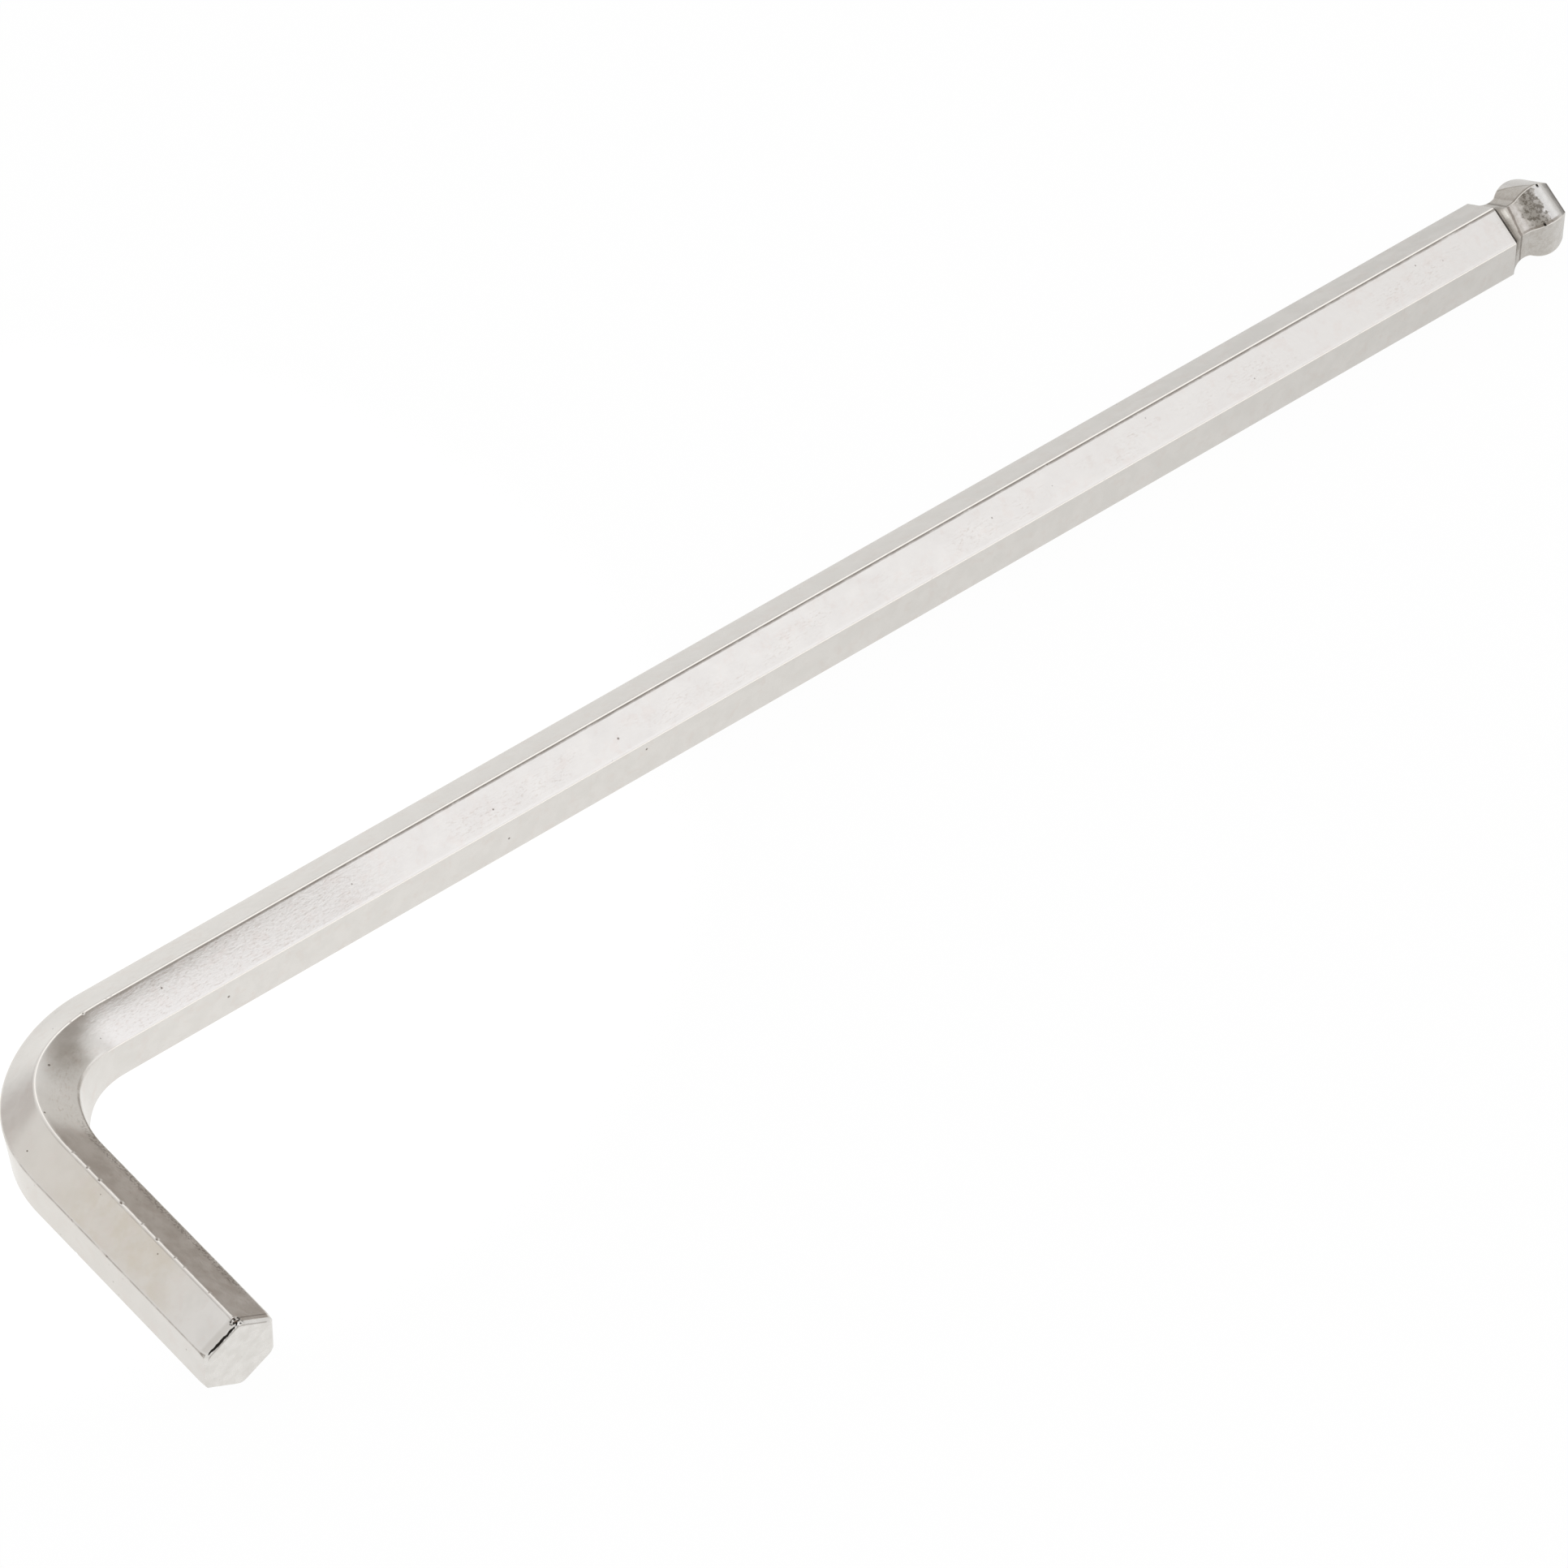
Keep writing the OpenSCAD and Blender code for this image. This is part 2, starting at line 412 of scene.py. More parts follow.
def section_points(bar, alongs, apothems):
    """Rows of section points, as (towards the inside, up), and where each column lies on the skin"""
    radii = bar.corner_radii(alongs, apothems)
    half_flats = (apothems - radii) * math.tan(SIDE_TURN / 2)
    corner_middles = (apothems - radii) * bar.slant
    columns, around, to_ridge = [], [], []
    swell = bar.swell(alongs)
    for side in range(SIDES):
        angle = side * SIDE_TURN
        out = np.array((math.cos(angle), math.sin(angle)))
        along_side = np.array((-math.sin(angle), math.cos(angle)))
        start = side * bar.side_width
        for place in FLAT_PLACES:
            lift = swell * swell_share(side, (place + 1) / 2)
            columns.append(np.outer(apothems + lift, out) + np.outer(half_flats * place, along_side))
            around.append(start + bar.flat_width * (place + 1) / 2)
            to_ridge.append(bar.corner_width / 2 + bar.flat_width * (1 - abs(place)) / 2)
        middle = angle + SIDE_TURN / 2
        ridge_out = np.array((math.cos(middle), math.sin(middle)))
        for step in range(1, RIDGE_STEPS):
            share = step / RIDGE_STEPS
            turn = angle + SIDE_TURN * share
            turned = np.array((math.cos(turn), math.sin(turn)))
            columns.append(np.outer(corner_middles, ridge_out) + np.outer(radii, turned))
            around.append(start + bar.flat_width + bar.corner_width * share)
            to_ridge.append(bar.corner_width * abs(share - 0.5))
    return np.stack(columns, 1), np.array(around), np.array(to_ridge)


def press_nicks(bar, alongs, around, points):
    """Presses the nicks into the ridges, and returns how deep each point went"""
    depth = np.zeros(points.shape[:2])
    half = bar.girth / 2
    for station, ridge, length, most in nicks():
        off = (around - bar.ridge_place(ridge) + half) % bar.girth - half
        across = np.exp(-((off / NICK_WIDTH) ** 2))
        lengthwise = np.exp(-(((alongs - station) / length) ** 2))
        depth += most * np.outer(lengthwise, across)
    radius = np.linalg.norm(points, axis=2)
    points *= (1 - depth / radius)[:, :, None]
    return depth


def key_mesh(bar, sizes):
    """The whole key as one closed skin, with what the finish needs to know at each point"""
    profile = bar_profile(bar, sizes)
    alongs = np.array([p[0] for p in profile])
    apothems = np.array([p[1] for p in profile])
    points, around, to_ridge = section_points(bar, alongs, apothems)
    nicked = press_nicks(bar, alongs, around, points)

    rows, columns = points.shape[:2]
    places = [bar.place(along) for along in alongs]
    middles = np.array([p[0] for p in places])
    inward = np.array([p[1] for p in places])
    roll = bar.roll(alongs)[:, None]
    across = points[:, :, 0] * np.cos(roll) - points[:, :, 1] * np.sin(roll)
    up = points[:, :, 0] * np.sin(roll) + points[:, :, 1] * np.cos(roll)
    level = middles[:, None, :] + across[:, :, None] * inward[:, None, :]
    vertices = np.concatenate([level, bar.height + up[:, :, None]], axis=2).reshape(-1, 3)
    poles = [(*bar.place(0)[0], bar.height), (*bar.place(bar.length)[0], bar.height)]
    vertices = np.concatenate([vertices, poles])

    faces = []
    for row in range(rows - 1):
        for column in range(columns):
            beside = (column + 1) % columns
            low, high = row * columns, (row + 1) * columns
            faces.append((low + column, high + column, high + beside, low + beside))
    short_pole, tip_pole = rows * columns, rows * columns + 1
    last = (rows - 1) * columns
    for column in range(columns):
        beside = (column + 1) % columns
        faces.append((short_pole, column, beside))
        faces.append((tip_pole, last + beside, last + column))

    mesh = bpy.data.meshes.new("hex_key_skin")
    mesh.from_pydata(vertices.tolist(), [], faces)
    mesh.validate()

    store(mesh, "along", np.append(np.repeat(alongs, columns), (0, bar.length)))
    store(mesh, "ridge", np.append(np.tile(to_ridge, rows), (1, 1)))
    store(mesh, "nick", np.append(nicked.ravel(), (0, 0)))
    lay_out(mesh, alongs, np.append(around, bar.girth))
    assign_finishes(mesh, bar, sizes, alongs, rows, columns)
    mesh.shade_smooth()
    return mesh


def store(mesh, name, values):
    """Keeps one number for each vertex, for the shaders"""
    attribute = mesh.attributes.new(name, "FLOAT", "POINT")
    attribute.data.foreach_set("value", np.asarray(values, np.float32))


def lay_out(mesh, alongs, steps):
    """Unrolls the bar's skin flat: along it, and round it, in metres"""
    layer = mesh.uv_layers.new(name="unrolled")
    unrolled = np.zeros((len(mesh.loops), 2), np.float32)
    columns = len(steps) - 1
    for face in range((len(alongs) - 1) * columns):
        row, column = divmod(face, columns)
        start = mesh.polygons[face].loop_start
        near, far = steps[column], steps[column + 1]
        unrolled[start:start + 4] = (
            (alongs[row], near), (alongs[row + 1], near), (alongs[row + 1], far), (alongs[row], far),
        )
    layer.uv.foreach_set("vector", unrolled.ravel())


def assign_finishes(mesh, bar, sizes, alongs, rows, columns):
    """Gives each face its finish: the drawn flats, the sawn end or the milled ball"""
    finish = np.zeros(len(mesh.polygons), np.int32)
    middles = (alongs[:-1] + alongs[1:]) / 2
    by_row = np.where(middles < sizes.end_chamfer, SAWN, DRAWN)
    by_row[middles > bar.shoulder] = MILLED
    round_faces = (rows - 1) * columns
    finish[:round_faces] = np.repeat(by_row, columns)
    finish[round_faces::2] = SAWN
    finish[round_faces + 1::2] = MILLED
    mesh.polygons.foreach_set("material_index", finish)


def add_node(tree, kind, inputs=None, **settings):
    """Adds a node with its settings; an input is a plain value or another node's output"""
    node = tree.nodes.new(kind)
    for name, value in settings.items():
        setattr(node, name, value)
    for socket, value in (inputs or {}).items():
        if isinstance(value, bpy.types.NodeSocket):
            tree.links.new(value, node.inputs[socket])
        else:
            node.inputs[socket].default_value = value
    return node


def compute(tree, operation, *values):
    """Output of a Math node"""
    node = add_node(tree, "ShaderNodeMath", dict(enumerate(values)), operation=operation)
    return node.outputs[0]


def ramp(tree, value, low, high, to_low=0.0, to_high=1.0):
    """Smooth step of a value between low and high"""
    node = add_node(tree, "ShaderNodeMapRange", {
        "Value": value, "From Min": low, "From Max": high, "To Min": to_low, "To Max": to_high,
    }, interpolation_type="SMOOTHSTEP")
    return node.outputs["Result"]


def blend_colours(tree, share, first, second, blend="MIX"):
    """Output of a colour Mix node"""
    node = add_node(tree, "ShaderNodeMix", {0: share, 6: first, 7: second},
                    data_type="RGBA", blend_type=blend)
    return node.outputs[2]


def noise_value(tree, vector, scale, detail=2.0, roughness=0.5):
    """Output of a Noise Texture node"""
    node = add_node(tree, "ShaderNodeTexNoise", {
        "Vector": vector, "Scale": scale, "Detail": detail, "Roughness": roughness,
    })
    return node.outputs["Fac"]


def stretched(tree, unrolled, along, across):
    """The unrolled skin with a scale of its own along the bar and across it"""
    node = add_node(tree, "ShaderNodeVectorMath", {0: unrolled, 1: (along, across, 1.0)},
                    operation="MULTIPLY")
    return node.outputs[0]


def distance_from(tree, point, vector):
    """Distance of a vector from a fixed point"""
    node = add_node(tree, "ShaderNodeVectorMath", {0: vector, 1: point}, operation="DISTANCE")
    return node.outputs["Value"]


def overlap(tree, *masks):
    """Product of several masks"""
    product = masks[0]
    for mask in masks[1:]:
        product = compute(tree, "MULTIPLY", product, mask)
    return product


def highest(tree, *masks):
    """Highest of several masks"""
    top = masks[0]
    for mask in masks[1:]:
        top = compute(tree, "MAXIMUM", top, mask)
    return top


def line_mask(tree, value, middle, half_width):
    """One on a line where the value is near the middle, with soft edges"""
    off = compute(tree, "ABSOLUTE", compute(tree, "SUBTRACT", value, middle))
    return ramp(tree, off, half_width, 0.4 * half_width)


def window(tree, value, low, high, soft):
    """One between low and high, with soft ends"""
    return overlap(tree, ramp(tree, value, low, low + soft), ramp(tree, value, high, high - soft))


def flat_mask(tree, bar, across, side):
    """One on one flat of the unrolled skin, and a little way onto its ridges"""
    start = side * bar.side_width
    return window(tree, across, start - 0.1 * MM, start + bar.flat_width + 0.1 * MM, 0.2 * MM)


def opaque(colour):
    """A colour property as the four numbers that a socket takes"""
    return (*colour, 1.0)


def new_group(name, inputs, outputs):
    """An empty shader node group with named sockets; returns the tree, its inputs and its outputs"""
    tree = bpy.data.node_groups.new(name, "ShaderNodeTree")
    for socket, (kind, default) in inputs.items():
        item = tree.interface.new_socket(socket, in_out="INPUT", socket_type="NodeSocket" + kind)
        if default is not None:
            item.default_value = default
    for socket, kind in outputs.items():
        tree.interface.new_socket(socket, in_out="OUTPUT", socket_type="NodeSocket" + kind)
    return tree, tree.nodes.new("NodeGroupInput").outputs, tree.nodes.new("NodeGroupOutput").inputs


def pits_group():
    """Small round pits, some bigger than others, scattered so that most cells have none"""
    tree, given, result = new_group(
        "Plating pits",
        {"Vector": ("Vector", None), "Scale": ("Float", 900.0), "Share": ("Float", 0.1),
         "Size": ("Float", 0.3)},
        {"Mask": "Float"})
    cells = add_node(tree, "ShaderNodeTexVoronoi", {"Vector": given["Vector"], "Scale": given["Scale"]})
    parts = add_node(tree, "ShaderNodeSeparateColor", {"Color": cells.outputs["Color"]})
    there = compute(tree, "LESS_THAN", parts.outputs[0], given["Share"])
    radius = compute(tree, "MULTIPLY", given["Size"], compute(tree, "ADD", parts.outputs[1], 0.25))
    inside = ramp(tree, compute(tree, "DIVIDE", cells.outputs["Distance"], radius), 1.0, 0.45)
    tree.links.new(overlap(tree, inside, there), result["Mask"])
    return tree


def blotches_group():
    """Soft-edged blotches with a broken outline, where a noise passes a threshold"""
    tree, given, result = new_group(
        "Plating blotches",
        {"Vector": ("Vector", None), "Scale": ("Float", 300.0), "Threshold": ("Float", 0.5),
         "Softness": ("Float", 0.1), "Breakup": ("Float", 0.5)},
        {"Mask": "Float"})
    wide = noise_value(tree, given["Vector"], given["Scale"], 4.0, given["Breakup"])
    low = compute(tree, "SUBTRACT", given["Threshold"], given["Softness"])
    high = compute(tree, "ADD", given["Threshold"], given["Softness"])
    tree.links.new(ramp(tree, wide, low, high), result["Mask"])
    return tree


def skin_group():
    """Height of the plating's fine uneven skin, in metres"""
    tree, given, result = new_group(
        "Plating skin",
        {"Vector": ("Vector", None), "Unrolled": ("Vector", None), "Scale": ("Float", 1500.0),
         "Depth": ("Float", 1e-6), "Line Depth": ("Float", 1e-6)},
        {"Height": "Float"})
    skin = noise_value(tree, given["Vector"], given["Scale"], 3.0, 0.55)
    lines = noise_value(tree, stretched(tree, given["Unrolled"], 160.0, 5200.0), 1.0, 2.0, 0.6)
    height = compute(tree, "ADD", compute(tree, "MULTIPLY", skin, given["Depth"]),
                     compute(tree, "MULTIPLY", lines, given["Line Depth"]))
    tree.links.new(height, result["Height"])
    return tree


def wear_and_highlight_group():
    """Where a ridge is rubbed bright and carries a painted highlight, and where it carries short dark
    ticks
    """
    tree, given, result = new_group(
        "Ridge wear and highlight",
        {"Ridge": ("Float", 0.0), "Vector": ("Vector", None), "Width": ("Float", 0.3 * MM),
         "Tick Scale": ("Float", 900.0), "Tick Share": ("Float", 0.66)},
        {"Worn": "Float", "Ticks": "Float"})
    uneven = noise_value(tree, given["Vector"], 700.0, 3.0, 0.6)
    reach = compute(tree, "MULTIPLY", given["Width"], compute(tree, "ADD", uneven, 0.5))
    near = ramp(tree, compute(tree, "DIVIDE", given["Ridge"], reach), 1.0, 0.5)
    tree.links.new(near, result["Worn"])
    breaks = noise_value(tree, given["Vector"], given["Tick Scale"], 2.0, 0.5)
    high = compute(tree, "ADD", given["Tick Share"], 0.05)
    ticks = ramp(tree, breaks, given["Tick Share"], high)
    tree.links.new(overlap(tree, ticks, near), result["Ticks"])
    return tree


def burr_and_chamfer_reflection_group(bar):
    """Black line at the outer top flat's end, a painted dark reflection in the chamfer, and crumbs of
    the saw's burr by the top ridge
    """
    tree, given, result = new_group(
        "Saw burr and chamfer reflection",
        {"Vector": ("Vector", None), "Along": ("Float", 0.0), "Across": ("Float", 0.0)},
        {"Line": "Float", "Crumbs": "Float"})
    along, across = given["Along"], given["Across"]
    top_edge = bar.ridge_place(TOP_RIDGE)
    # The line is a painted dark reflection in the chamfer; the crumbs are the saw's burr
    wander = noise_value(tree, given["Vector"], 1300.0, 3.0, 0.6)
    taper = window(tree, across, top_edge, top_edge + bar.side_width, 1.5 * MM)
    half_width = compute(tree, "MULTIPLY_ADD", taper, 0.09 * MM, 0.05 * MM)
    off = compute(tree, "MULTIPLY_ADD", wander, 0.3 * MM, along)
    off = compute(tree, "ABSOLUTE", compute(tree, "SUBTRACT", off, 0.36 * MM))
    line = ramp(tree, compute(tree, "DIVIDE", off, half_width), 1.0, 0.5)
    off_face = ramp(tree, along, 0.005 * MM, 0.04 * MM)
    line = overlap(tree, line, off_face, flat_mask(tree, bar, across, OUTER_TOP_FLAT))
    tree.links.new(line, result["Line"])
    grains = ramp(tree, noise_value(tree, given["Vector"], 3600.0, 2.0, 0.5), 0.5, 0.57)
    by_ridge = line_mask(tree, across, top_edge, 0.8 * MM)
    by_end = window(tree, along, 0.0, 1.05 * MM, 0.25 * MM)
    tree.links.new(overlap(tree, grains, by_ridge, by_end), result["Crumbs"])
    return tree


def read(tree, name):
    """A number kept for each vertex"""
    return add_node(tree, "ShaderNodeAttribute", attribute_name=name).outputs["Fac"]


class Finish:
    """A metal material of the key, whose colour is built up tone by tone"""

    def __init__(self, name, bar, look, groups):
        self.bar, self.look, self.groups = bar, look, groups
        self.material = bpy.data.materials.new(name)
        self.material.use_nodes = True
        self.tree = self.material.node_tree
        self.shader = self.tree.nodes["Principled BSDF"]
        self.shader.inputs["Metallic"].default_value = 1.0
        self.where = add_node(self.tree, "ShaderNodeTexCoord").outputs["Object"]
        self.unrolled = add_node(self.tree, "ShaderNodeUVMap", uv_map="unrolled").outputs["UV"]
        sides = add_node(self.tree, "ShaderNodeSeparateXYZ", {0: self.unrolled}).outputs
        self.along, self.across = sides[0], sides[1]
        self.colour = None

    def put(self, group, **inputs):
        """Outputs of a node group placed here; an underscore in an input's name stands for a space"""
        node = self.tree.nodes.new("ShaderNodeGroup")
        node.node_tree = self.groups[group]
        for name, value in inputs.items():
            socket = node.inputs[name.replace("_", " ")]
            if isinstance(value, bpy.types.NodeSocket):
                self.tree.links.new(value, socket)
            else:
                socket.default_value = value
        return node.outputs

    def begin(self, mottle, low, high, dull, bright):
        """Starts the colour: dull where the mottle is low and bright where it is high"""
        share = ramp(self.tree, mottle, low, high)
        self.colour = blend_colours(self.tree, share, opaque(dull), opaque(bright))

    def tone(self, mask, strength, colour):
        """Blends a colour over the finish where the mask says"""
        share = compute(self.tree, "MULTIPLY", mask, strength)
        self.colour = blend_colours(self.tree, share, self.colour, opaque(colour))

    def flat(self, side):
        """One on one of the bar's flats"""
        return flat_mask(self.tree, self.bar, self.across, side)

    def by_ridge(self, ridge, past, half_width):
        """One on a line along a ridge, a little past it"""
        return line_mask(self.tree, self.across, self.bar.ridge_place(ridge) + past, half_width)

    def done(self, roughness, height):
        """Feeds the shader, with the height in metres, and returns the material"""
        bump = add_node(self.tree, "ShaderNodeBump", {
            "Strength": 1.0, "Distance": 1.0, "Height": height,
        })
        self.tree.links.new(self.colour, self.shader.inputs["Base Color"])
        self.tree.links.new(roughness, self.shader.inputs["Roughness"])
        self.tree.links.new(bump.outputs["Normal"], self.shader.inputs["Normal"])
        return self.material


def stain_short_arm(finish):
    """Tan tint and stains on the short arm, most on its outer top flat, and pink blotches all over"""
    tree, where, along, stain = finish.tree, finish.where, finish.along, finish.look.stain
    upper = finish.flat(OUTER_TOP_FLAT)
    reach = window(tree, along, 1 * MM, 40 * MM, 14 * MM)
    finish.tone(reach, 0.1, stain)
    finish.tone(overlap(tree, upper, reach), 0.2, stain)
    blotches = finish.put("blotches", Vector=where, Scale=230.0, Threshold=0.5,
                          Softness=0.16, Breakup=0.7)["Mask"]
    by_end = window(tree, along, 4 * MM, 28 * MM, 8 * MM)
    finish.tone(overlap(tree, blotches, upper, by_end), 0.45, stain)
    pink = finish.put("blotches", Vector=where, Scale=620.0, Threshold=0.58,
                      Softness=0.08, Breakup=0.7)["Mask"]
    finish.tone(pink, 0.35, PINK_TINGE)


def speckle(finish, crinkled):
    """Fine brown streaks on the inner top flat: in clusters, and all over the crinkled plating"""
    tree = finish.tree
    clusters = finish.put("blotches", Vector=finish.where, Scale=170.0, Threshold=0.52,
                          Softness=0.12, Breakup=0.5)["Mask"]
    clusters = overlap(tree, clusters, finish.by_ridge(INNER_RIDGE, 1.9 * MM, 1.8 * MM))
    drawn_out = stretched(tree, finish.unrolled, 1500.0, 3900.0)
    streaks = finish.put("blotches", Vector=drawn_out, Scale=1.0, Threshold=0.57,
                         Softness=0.05, Breakup=0.8)["Mask"]
    finish.tone(overlap(tree, streaks, highest(tree, clusters, crinkled)), 0.36, CRINKLE_BROWN)


def mark_spots(finish):
    """The dark spots that stand out"""
    for station, ridge, past, radius in SPOTS:
        spot = (station * MM, finish.bar.ridge_place(ridge) + past * MM, 0.0)
        away = distance_from(finish.tree, spot, finish.unrolled)
        finish.tone(ramp(finish.tree, away, radius * MM, 0.4 * radius * MM), 0.8, finish.look.soot)


def line_ridges_with_grime_and_reflection(finish):
    """Thin dark lines along the ridges, broken up by noise: grime by the inner and outer ridges and a
    painted dark reflection beside the top ridge; and specks beside the inner one
    """
    tree, along = finish.tree, finish.along
    specks = ramp(tree, noise_value(tree, finish.where, 4300.0, 3.0, 0.7), 0.48, 0.57)
    inner_side = overlap(tree, finish.by_ridge(INNER_RIDGE, 0.4 * MM, 0.9 * MM),
                         window(tree, along, 0.5 * MM, 35 * MM, 7 * MM), specks)
    finish.tone(inner_side, 0.5, finish.look.soot)
    # Beside the top ridge: a painted dark reflection next to its highlight on the long arm, and painted
    # dark lines that narrow its highlight on the short arm
    long_arm = overlap(tree, finish.by_ridge(TOP_RIDGE, -0.24 * MM, 0.17 * MM),
                       ramp(tree, along, 42 * MM, 90 * MM, 0.0, 1.1))
    faint = compute(tree, "MULTIPLY", finish.by_ridge(TOP_RIDGE, 0.23 * MM, 0.1 * MM), 0.6)
    short_arm = overlap(tree, highest(tree, finish.by_ridge(TOP_RIDGE, -0.14 * MM, 0.15 * MM), faint),
                        ramp(tree, along, 34 * MM, 28 * MM))
    # Grime along the outer and inner ridges
    outer_line = overlap(tree, finish.by_ridge(OUTER_RIDGE, 0.0, 0.13 * MM),
                         ramp(tree, along, 36 * MM, 30 * MM))
    inner_line = overlap(tree, finish.by_ridge(INNER_RIDGE, 0.0, 0.34 * MM),
                         window(tree, along, 0.5 * MM, 44 * MM, 8 * MM))
    broken = ramp(tree, noise_value(tree, finish.unrolled, 500.0, 3.0, 0.7), 0.2, 0.6)
    lines = highest(tree, long_arm, short_arm, outer_line, inner_line)
    finish.tone(overlap(tree, lines, broken), 0.6, finish.look.grime_and_dark_reflection)


def mark_sawn_edge(finish):
    """A dull strip beside the chamfer's dark line, and a scored line across the inner top flat"""
    tree, along = finish.tree, finish.along
    strip = window(tree, along, 0.2 * MM, 1.3 * MM, 0.4 * MM)
    finish.tone(overlap(tree, strip, finish.flat(OUTER_TOP_FLAT)), 0.3, finish.look.film)
    scored = line_mask(tree, along, 0.85 * MM, 0.1 * MM)
    finish.tone(overlap(tree, scored, finish.flat(INNER_TOP_FLAT)), 0.5, finish.look.soot)


def blacken_burr_and_chamfer_reflection(finish):
    """The painted dark reflection along the chamfer, and the crumbs of the saw's burr"""
    burr_and_painted_shade = finish.put("burr_and_painted_shade", Vector=finish.where, Along=finish.along, Across=finish.across)
    finish.tone(highest(finish.tree, burr_and_painted_shade["Line"], burr_and_painted_shade["Crumbs"]), 1.0, finish.look.burr_and_painted_shade)


def drawn_finish(bar, look, groups):
    """Plating over the drawn flats: nearly clean, with mottling, stains, pits, ridges rubbed bright with
    a painted highlight, and a painted dark reflection beside the top ridge
    """
    finish = Finish("Plated drawn flats", bar, look, groups)
    tree, where, along = finish.tree, finish.where, finish.along
    mottle = noise_value(tree, where, 420.0, 3.0, 0.6)
    finish.begin(mottle, 0.35, 0.65, DULL_NICKEL, look.nickel)
    stain_short_arm(finish)
    near_bend = window(tree, along, 41 * MM, 86 * MM, 12 * MM)
    crinkled = overlap(tree, near_bend, finish.flat(INNER_TOP_FLAT))
    speckle(finish, crinkled)
    pits = finish.put("pits", Vector=where, Scale=1250.0, Share=0.07, Size=0.14)["Mask"]
    finish.tone(pits, 0.5, look.soot)
    mark_spots(finish)
    # Ridges rubbed bright, partly a painted highlight
    wear_and_highlight = finish.put("wear_and_highlight", Ridge=read(tree, "ridge"), Vector=where, Width=0.13 * MM)
    rubbed_and_highlit = ramp(tree, along, 32 * MM, 44 * MM, 0.3, 0.6)
    finish.tone(overlap(tree, wear_and_highlight["Worn"], rubbed_and_highlit), 1.0, look.worn_nickel_and_highlight)
    line_ridges_with_grime_and_reflection(finish)
    nicked = ramp(tree, read(tree, "nick"), 0.035 * MM, 0.08 * MM)
    ticks = overlap(tree, wear_and_highlight["Ticks"], ramp(tree, along, 40 * MM, 60 * MM, 0.5, 0.1))
    finish.tone(highest(tree, nicked, ticks), 1.0, look.soot)
    mark_sawn_edge(finish)
    blacken_burr_and_chamfer_reflection(finish)

    roughness = ramp(tree, mottle, 0.3, 0.7, look.roughness * 0.85, look.roughness * 1.2)
    skin = finish.put("skin", Vector=where, Unrolled=finish.unrolled, Scale=1300.0,
                      Depth=4e-6, Line_Depth=0.8e-6)["Height"]
    skin = compute(tree, "MULTIPLY", skin, compute(tree, "MULTIPLY_ADD", near_bend, 1.6, 1.0))
    creases = noise_value(tree, stretched(tree, finish.unrolled, 1700.0, 4300.0), 1.0, 4.0, 0.8)
    height = compute(tree, "MULTIPLY_ADD", overlap(tree, creases, crinkled), 15e-6, skin)
    return finish.done(roughness, compute(tree, "MULTIPLY_ADD", pits, -6e-6, height))


def sawn_finish(bar, look, groups):
    """Plating over the short arm's cut face and bevel: even, with a fine grain, specks and a grey rim"""
    finish = Finish("Plated sawn end", bar, look, groups)
    tree, where = finish.tree, finish.where
    mottle = noise_value(tree, where, 900.0, 4.0, 0.65)
    finish.begin(mottle, 0.3, 0.7, SAWN_DULL, SAWN_BRIGHT)
    specks = finish.put("pits", Vector=where, Scale=1900.0, Share=0.14, Size=0.22)["Mask"]
    finish.tone(specks, 0.3, look.soot)
    upper = window(tree, finish.across, INNER_TOP_FLAT * bar.side_width,
                   OUTER_FLAT * bar.side_width, 0.3 * MM)
    rim = line_mask(tree, finish.along, 0.06 * MM, 0.055 * MM)
    finish.tone(overlap(tree, rim, upper), 0.5, look.grime_and_dark_reflection)
    blacken_burr_and_chamfer_reflection(finish)
    skin = finish.put("skin", Vector=where, Unrolled=finish.unrolled, Scale=2600.0,
                      Depth=3.5e-6, Line_Depth=0.0)["Height"]
    return finish.done(ramp(tree, mottle, 0.3, 0.7, 0.34, 0.26), skin)


def film_over_ball(finish, past, wander):
    """Thin film up to the ball's front, residue on its back, and a clean ground front"""
    tree, look = finish.tree, finish.look
    upper, outer = finish.flat(INNER_TOP_FLAT), finish.flat(OUTER_TOP_FLAT)
    ragged = compute(tree, "MULTIPLY_ADD", wander, 2.4 * MM, past)
    film = ramp(tree, ragged, 7.2 * MM, 5.4 * MM)
    clean = ramp(tree, ragged, 6.45 * MM, 6.75 * MM)
    back = ramp(tree, ragged, 4.25 * MM, 4.7 * MM)
    back = overlap(tree, back, compute(tree, "SUBTRACT", 1.0, clean), upper)
    hollow = overlap(tree, window(tree, past, 1.2 * MM, 3.0 * MM, 0.6 * MM), upper)
    specks = finish.put("blotches", Vector=finish.where, Scale=2300.0, Threshold=0.52,
                        Softness=0.06, Breakup=0.7)["Mask"]
    finish.tone(film, 0.24, look.film)
    finish.tone(overlap(tree, film, outer), 0.42, look.film)
    finish.tone(hollow, 0.35, look.film)
    finish.tone(outer, 0.12, look.film)
    finish.tone(back, 0.56, look.residue)
    finish.tone(overlap(tree, specks, back), 0.72, BALL_SPECKS)
    finish.tone(overlap(tree, clean, upper), 0.85, BALL_CLEAN)
    finish.tone(overlap(tree, specks, film), 0.16, BALL_BROWN)


def mark_tip(finish, past, wander, patchy):
    """A grey rim and a dark line on the inner top flat, next to the tip face"""
    tree, upper = finish.tree, finish.flat(INNER_TOP_FLAT)
    rim = ramp(tree, compute(tree, "MULTIPLY_ADD", wander, 0.5 * MM, past), 7.1 * MM, 7.35 * MM)
    finish.tone(overlap(tree, rim, upper, patchy), 0.45, RIM_GREY)
    edge = line_mask(tree, past, 7.6 * MM, 0.16 * MM)
    finish.tone(overlap(tree, edge, upper), 0.7, finish.look.soot)


